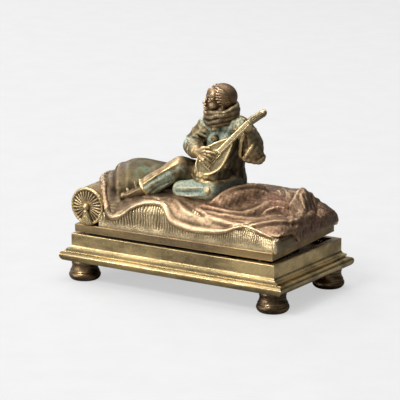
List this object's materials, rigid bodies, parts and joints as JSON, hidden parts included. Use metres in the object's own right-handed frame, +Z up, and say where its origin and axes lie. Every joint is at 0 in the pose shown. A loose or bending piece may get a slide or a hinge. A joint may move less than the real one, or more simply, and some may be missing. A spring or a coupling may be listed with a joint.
{
  "type": "inkwell",
  "caption": "Moulded brass box on turned feet, holding two glass ink pots, under a hinged lid cast as a day bed with a seated lute player.",
  "frame": {"origin": "centre of the footprint, on the surface that the feet stand on", "axes": "+X along the length towards the foot of the bed, +Y to the rear where the hinge is, +Z up"},
  "size_m": [0.16, 0.0878, 0.1266],
  "materials": {
    "casing_brass": "aged, rubbed on the edges",
    "foot_bronze": "dark brown patina",
    "fastener_brass": "turned",
    "sheet_brass": "dull sheet",
    "pot_glass": "clear pressed glass",
    "hinge_brass": "worn",
    "plate_bronze": "grey brown patina",
    "mattress_bronze": "ribbed, rubbed bright",
    "bolster_bronze": "gathered ends rubbed bright",
    "cloth_bronze": "copper brown cold paint",
    "pillow_bronze": "olive green patina",
    "tunic_bronze": "verdigris cold paint, rubbed",
    "skin_bronze": "brown, rubbed bright",
    "lute_bronze": "gilt brown",
    "pad_leather": "plain"
  },
  "bodies": {
    "base": {"base_casing": "casing_brass", "foot_front_left": "foot_bronze", "foot_front_right": "foot_bronze", "foot_rear_left": "foot_bronze", "foot_rear_right": "foot_bronze", "foot_washers": "fastener_brass", "foot_nuts": "fastener_brass", "floor_plate": "sheet_brass", "floor_plate_screws": "fastener_brass", "well_tray": "sheet_brass", "ink_pot_left": "pot_glass", "ink_pot_right": "pot_glass", "hinge_base_leaf": "hinge_brass", "hinge_base_screws": "fastener_brass", "hinge_pin": "fastener_brass"},
    "lid": {"hinge_lid_leaf": "hinge_brass", "hinge_lid_screws": "fastener_brass", "lid_plate": "plate_bronze", "lid_screws": "fastener_brass", "lid_rest_pads": "pad_leather", "mattress": "mattress_bronze", "bolster": "bolster_bronze", "bolster_buttons": "bolster_bronze", "bolster_tassels": "bolster_bronze", "throw": "cloth_bronze", "blanket_heap": "cloth_bronze", "pillow": "pillow_bronze", "torso": "tunic_bronze", "ruff": "skin_bronze", "head": "skin_bronze", "right_arm": "tunic_bronze", "left_arm": "tunic_bronze", "right_leg": "tunic_bronze", "left_leg": "tunic_bronze", "lute_bowl": "lute_bronze", "lute_soundboard": "lute_bronze", "lute_neck": "lute_bronze", "lute_pegbox": "lute_bronze", "lute_pegs": "lute_bronze", "figure_screws": "fastener_brass"}
  },
  "joints": [
    {"name": "lid_hinge", "type": "hinge", "parent": "base", "child": "lid", "pos_m": [0, 0.039, 0.03155], "axis": [-1, 0, 0], "range_deg": [0, 95]}
  ]
}
